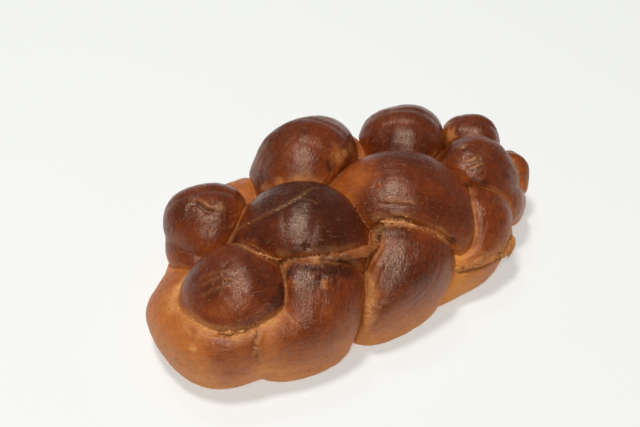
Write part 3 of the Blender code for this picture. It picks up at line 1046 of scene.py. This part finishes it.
GLAZE_ROUGHNESS = 0.28      # roughness where the egg wash is whole
YOUNG_ROUGHNESS = 0.30      # what young skin adds,
MOTTLE_ROUGHNESS = 0.24     # what the mottle varies it by,
PALE_ROUGHNESS = 0.55       # and what thin wash adds, for each unit of browning ...
THIN_WASH = 0.55            # ... below this one
SPECULAR = 0.62
SHEEN = (1.0, 0.76, 0.58, 1.0)  # the egg wash warms what it reflects


def crust_material():
    crust = Shader("crust")
    young = crust.attribute("young")
    strand = crust.attribute("strand", "Vector")
    place = crust.node("ShaderNodeTexCoord", {}, {}, "Object")
    seen = {}
    for name, pattern in PATTERNS.items():
        vector = crust.stretch(strand, pattern.stretch) if pattern.stretch else place
        seen[name] = crust.noise(vector, pattern.scale, pattern.detail, pattern.roughness)
    browning = [seen[name].centred() * kind.browning for name, kind in PATTERNS.items() if kind.browning]
    # the browning, which carries the patches' painted shade too
    browned_and_shaded = sum(browning, crust.attribute("toast"))
    pale_marks = [
        seen[own].between(*shows) * seen[wide].between(*within) * amount
        for own, wide, (shows, within, amount) in (("dashes", "mottle", FLECKS), ("specks", "cloud", SPECKS))
    ]
    opened = (young * (YOUNG_LEAST + seen["mottle"] * YOUNG_MOTTLE) + sum(pale_marks)).clamp()
    skin = crust.mix(opened, crust.ramp(browned_and_shaded, BAKED), crust.ramp(seen["dashes"], YOUNG))
    # painted shade: the folds' grooves are darkened towards the groove's paint
    colour = crust.mix(crust.attribute("dark") * GROOVE_SHADE_STRENGTH, skin, paint(*GROOVE_SHADE_PAINT))
    height = sum(seen[name] * kind.relief for name, kind in PATTERNS.items() if kind.relief)
    bumps = crust.node("ShaderNodeBump", {}, {**RELIEF, "Height": height}, "Normal")
    worn = opened * YOUNG_ROUGHNESS + seen["mottle"].centred() * MOTTLE_ROUGHNESS
    gloss = GLAZE_ROUGHNESS + worn + (THIN_WASH - browned_and_shaded).clamp() * PALE_ROUGHNESS
    return crust.finish(Base_Color=colour, Roughness=gloss, Normal=bumps, Specular_IOR_Level=SPECULAR,
                        Specular_Tint=SHEEN)


def make_loaf():
    skin = Skin()
    # the browning, which also holds the patches' painted shade, and the painted shade of the grooves
    attributes = {
        "toast": skin.toast, "young": skin.young, "dark": skin.dark, "strand": skin.strand,
        "flaky": skin.flaky(),
    }
    loaf = skin_object("loaf_crust", fit_to_part(skin.points), skin.faces, attributes)
    loaf.data.materials.append(crust_material())
    flakes = make_flakes(loaf)
    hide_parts("braided_loaf")
    for piece in (loaf, flakes):
        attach(piece, "root")


# ---- Loose flakes of crust ------------------------------------------------------------------------
# what the scatter is given: flakes to a square metre, a flake's radius in metres, and a seed
FLAKE_INPUTS = [
    ("Density", "NodeSocketFloat", 120000.0),
    ("Size", "NodeSocketFloat", 0.0008),
    ("Seed", "NodeSocketInt", 3),
]
# how each flake is drawn out along its three axes, and how it is turned about them, in radians
FLAKE_SCALE = {"Min": (0.5, 0.4, 0.15), "Max": (2.4, 1.0, 0.5)}
FLAKE_TURN = {"Min": (-0.7, -0.7, -3.1), "Max": (0.7, 0.7, 3.1)}
FLAKE_NOISE = (500.0, 2.0, 0.5)
FLAKE_COLOURS = [(0.30, (150, 82, 36)), (0.65, (202, 132, 70))]
FLAKE_ROUGHNESS = 0.6


def flake_material():
    flake = Shader("crust_flake")
    place = flake.node("ShaderNodeTexCoord", {}, {}, "Object")
    colour = flake.ramp(flake.noise(place, *FLAKE_NOISE), FLAKE_COLOURS)
    return flake.finish(Base_Color=colour, Roughness=FLAKE_ROUGHNESS)


def flake_nodes(material):
    """Scatters small torn flakes over the surface, thickest where its flaky attribute is high."""
    nodes = Nodes(bpy.data.node_groups.new("flakes", "GeometryNodeTree"))
    sockets = nodes.tree.interface
    sockets.new_socket("Geometry", in_out="INPUT", socket_type="NodeSocketGeometry")
    keys = [
        sockets.new_socket(name, in_out="INPUT", socket_type=kind).identifier
        for name, kind, value in FLAKE_INPUTS
    ]
    sockets.new_socket("Geometry", in_out="OUTPUT", socket_type="NodeSocketGeometry")
    given = nodes.add("NodeGroupInput", {}, {})
    flaky = nodes.add("GeometryNodeInputNamedAttribute", {"data_type": "FLOAT"}, {"Name": "flaky"})
    density = nodes.add("ShaderNodeMath", {"operation": "MULTIPLY"}, {0: flaky[0], 1: given["Density"]})
    spots = nodes.add("GeometryNodeDistributePointsOnFaces", {}, {
        "Mesh": given["Geometry"], "Density": density[0], "Seed": given["Seed"]})
    ball = nodes.add("GeometryNodeMeshIcoSphere", {}, {"Radius": given["Size"], "Subdivisions": 1})
    vector = {"data_type": "FLOAT_VECTOR"}
    scale, turn = [
        nodes.add("FunctionNodeRandomValue", vector, {**limits, "Seed": given["Seed"]})
        for limits in (FLAKE_SCALE, FLAKE_TURN)
    ]
    placed = nodes.add("GeometryNodeInstanceOnPoints", {}, {
        "Points": spots["Points"], "Instance": ball[0], "Rotation": spots["Rotation"], "Scale": scale[0]})
    turned = nodes.add("GeometryNodeRotateInstances", {}, {"Instances": placed[0], "Rotation": turn[0]})
    solid = nodes.add("GeometryNodeRealizeInstances", {}, {"Geometry": turned[0]})
    painted = nodes.add("GeometryNodeSetMaterial", {}, {"Geometry": solid[0], "Material": material})
    nodes.add("NodeGroupOutput", {}, {"Geometry": painted[0]})
    return nodes.tree, keys


def make_flakes(loaf):
    tree, keys = flake_nodes(flake_material())
    base = new_object("flake_base", loaf.data)
    scatter = base.modifiers.new("scatter", "NODES")
    scatter.node_group = tree
    for key, (name, kind, value) in zip(keys, FLAKE_INPUTS):
        scatter[key] = value
    return new_object("crust_flakes", finished_mesh(base))


# ---- The studio ---------------------------------------------------------------------------------
VIEW_AZIMUTH = -33.0        # degrees round the loaf
VIEW_HEIGHT = 45.0          # degrees above the table
VIEW_DISTANCE = 950.0
VIEW_CENTRE = (0.0, 28.0, 30.0)
LENS = 70.0                 # focal length
SENSOR = 36.0               # and the width behind it

# name, degrees round the loaf and above the table, distance and size in metres, watts
LAMPS = [
    ("overhead_softbox", -125.0, 81.0, 2.6, 0.42, 38.0),
    ("front_softbox", -40.0, 53.0, 3.0, 0.42, 27.0),
    ("back_softbox", 172.0, 62.0, 3.0, 0.42, 6.0),
]
LAMP_TARGET = (0.0, 0.0, 0.04)  # in metres
SKY = {"Color": (0.97, 0.98, 1.0, 1.0), "Strength": 0.17}

FLOOR_SIZE = 6.0            # in metres
FLOOR_PAINT = (190, 191, 188)
FLOOR_ROUGHNESS = 0.9
FLOOR_LIGHT = (244, 246, 243)
FLOOR_GLOW = 0.42           # the floor is lit from below, which keeps the shadows light


def direction(azimuth, height):
    """From the loaf towards a place this far round it and this high, in degrees."""
    azimuth, height = math.radians(azimuth), math.radians(height)
    level = math.cos(height)
    return Vector((math.sin(azimuth) * level, -math.cos(azimuth) * level, math.sin(height)))


def look_at(item, place, target):
    item.location = place
    item.rotation_mode = "QUATERNION"
    item.rotation_quaternion = (target - place).to_track_quat("-Z", "Y")


def make_camera():
    camera = new_object("camera", bpy.data.cameras.new("camera"))
    camera.data.lens = LENS
    camera.data.sensor_width = SENSOR
    target = Vector(VIEW_CENTRE) * MM
    look_at(camera, target + direction(VIEW_AZIMUTH, VIEW_HEIGHT) * VIEW_DISTANCE * MM, target)
    bpy.context.scene.camera = camera


def make_lamp(name, azimuth, height, distance, size, power):
    lamp = new_object(name, bpy.data.lights.new(name, "AREA"))
    lamp.data.size = size
    lamp.data.energy = power
    look_at(lamp, direction(azimuth, height) * distance, Vector(LAMP_TARGET))


def make_table():
    half = FLOOR_SIZE / 2
    mesh = bpy.data.meshes.new("table")
    corners = [(-half, -half, 0), (half, -half, 0), (half, half, 0), (-half, half, 0)]
    mesh.from_pydata(corners, [], [(0, 1, 2, 3)])
    top = Shader("table_top")
    mesh.materials.append(top.finish(Base_Color=paint(*FLOOR_PAINT), Roughness=FLOOR_ROUGHNESS,
                                     Emission_Color=paint(*FLOOR_LIGHT), Emission_Strength=FLOOR_GLOW))
    new_object("table", mesh)


def make_studio():
    world = bpy.data.worlds.new("studio")
    bpy.context.scene.world = world
    world.use_nodes = True
    for key, value in SKY.items():
        world.node_tree.nodes["Background"].inputs[key].default_value = value
    for lamp in LAMPS:
        make_lamp(*lamp)
    make_table()
    bpy.context.scene.view_settings.view_transform = "Standard"


make_loaf()
make_camera()
make_studio()
